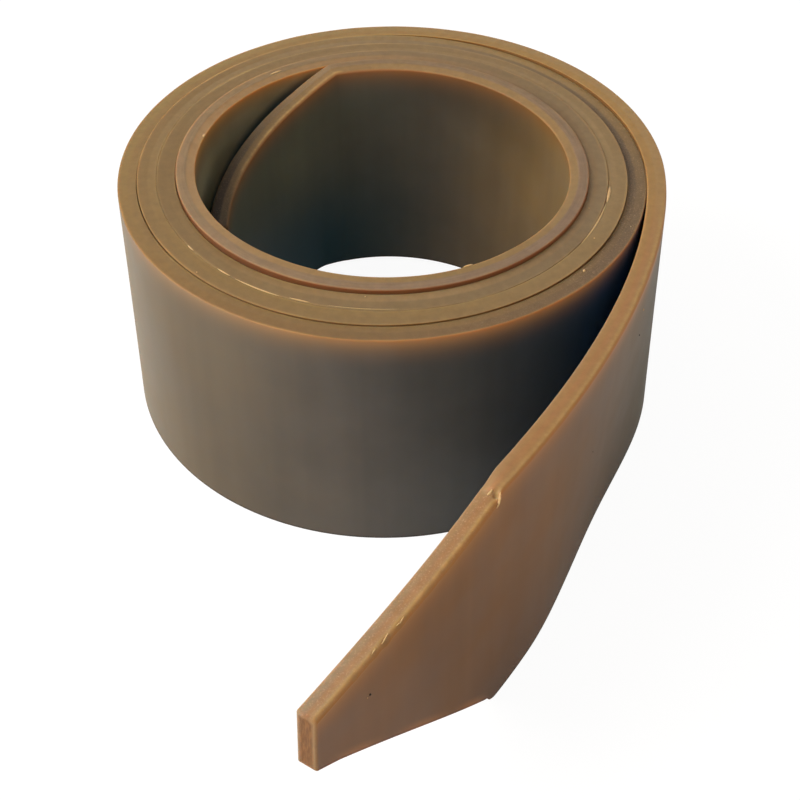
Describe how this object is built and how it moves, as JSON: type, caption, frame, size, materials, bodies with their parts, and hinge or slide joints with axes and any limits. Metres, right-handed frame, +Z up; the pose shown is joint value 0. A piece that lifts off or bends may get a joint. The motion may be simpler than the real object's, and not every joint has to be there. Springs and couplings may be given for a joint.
{
  "type": "rolled squeegee blade",
  "caption": "Flat polyurethane squeegee blade wound in a loose roll on its long edge, with the outer end left free and both ends tapered to a narrow nose.",
  "frame": {"origin": "middle of the part's box, on the ground that the blade's long edge stands on", "axes": "+Z up along the roll's axis, which stands 32 mm behind the origin; +Y towards the roll; the free end reaches towards -Y"},
  "size_m": [0.0998, 0.1636, 0.0482],
  "materials": {
    "blade_polyurethane": "semi-gloss moulded faces, sawn ends, amber where light passes through"
  },
  "bodies": {
    "root": {"squeegee_blade": "blade_polyurethane"}
  },
  "joints": []
}
